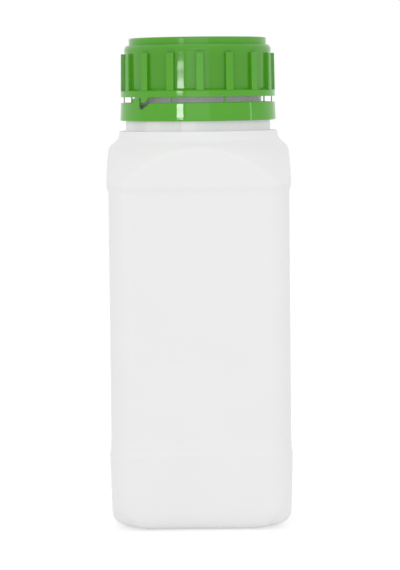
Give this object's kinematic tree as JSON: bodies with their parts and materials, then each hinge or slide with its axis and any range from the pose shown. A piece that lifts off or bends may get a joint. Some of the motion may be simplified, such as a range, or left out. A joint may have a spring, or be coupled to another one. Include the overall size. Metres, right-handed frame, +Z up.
{
  "type": "square media bottle",
  "caption": "Square blow-moulded laboratory bottle with a turned shoulder, ribbed screw cap and tamper-evident ring.",
  "frame": {"origin": "centre of the foot, on the surface that the bottle stands on", "axes": "+Z up through the neck, -Y out of the front face, +X to the right seen from the front"},
  "size_m": [0.068, 0.068, 0.1823],
  "materials": {
    "bottle_white": "satin opaque white polyethylene",
    "closure_green": "semi-gloss green polypropylene",
    "liner_foam": "matt off-white polyethylene foam"
  },
  "bodies": {
    "bottle_body": {"bottle": "bottle_white", "tamper_ring": "closure_green"},
    "liner_body": {"seal_liner": "liner_foam"},
    "cap_body": {"screw_cap": "closure_green"}
  },
  "joints": [
    {"name": "cap_turn", "type": "hinge", "parent": "liner_body", "child": "cap_body", "pos_m": [0, 0, 0.17], "axis": [0, 0, 1], "range_deg": [0, 1620]},
    {"name": "cap_lift", "type": "slide", "parent": "bottle_body", "child": "liner_body", "axis": [0, 0, 1], "range_m": [0, 0.0226]}
  ],
  "couplings": [
    {"joint": "cap_lift", "follows": "cap_turn", "m_per_rad": 0.00079577}
  ]
}
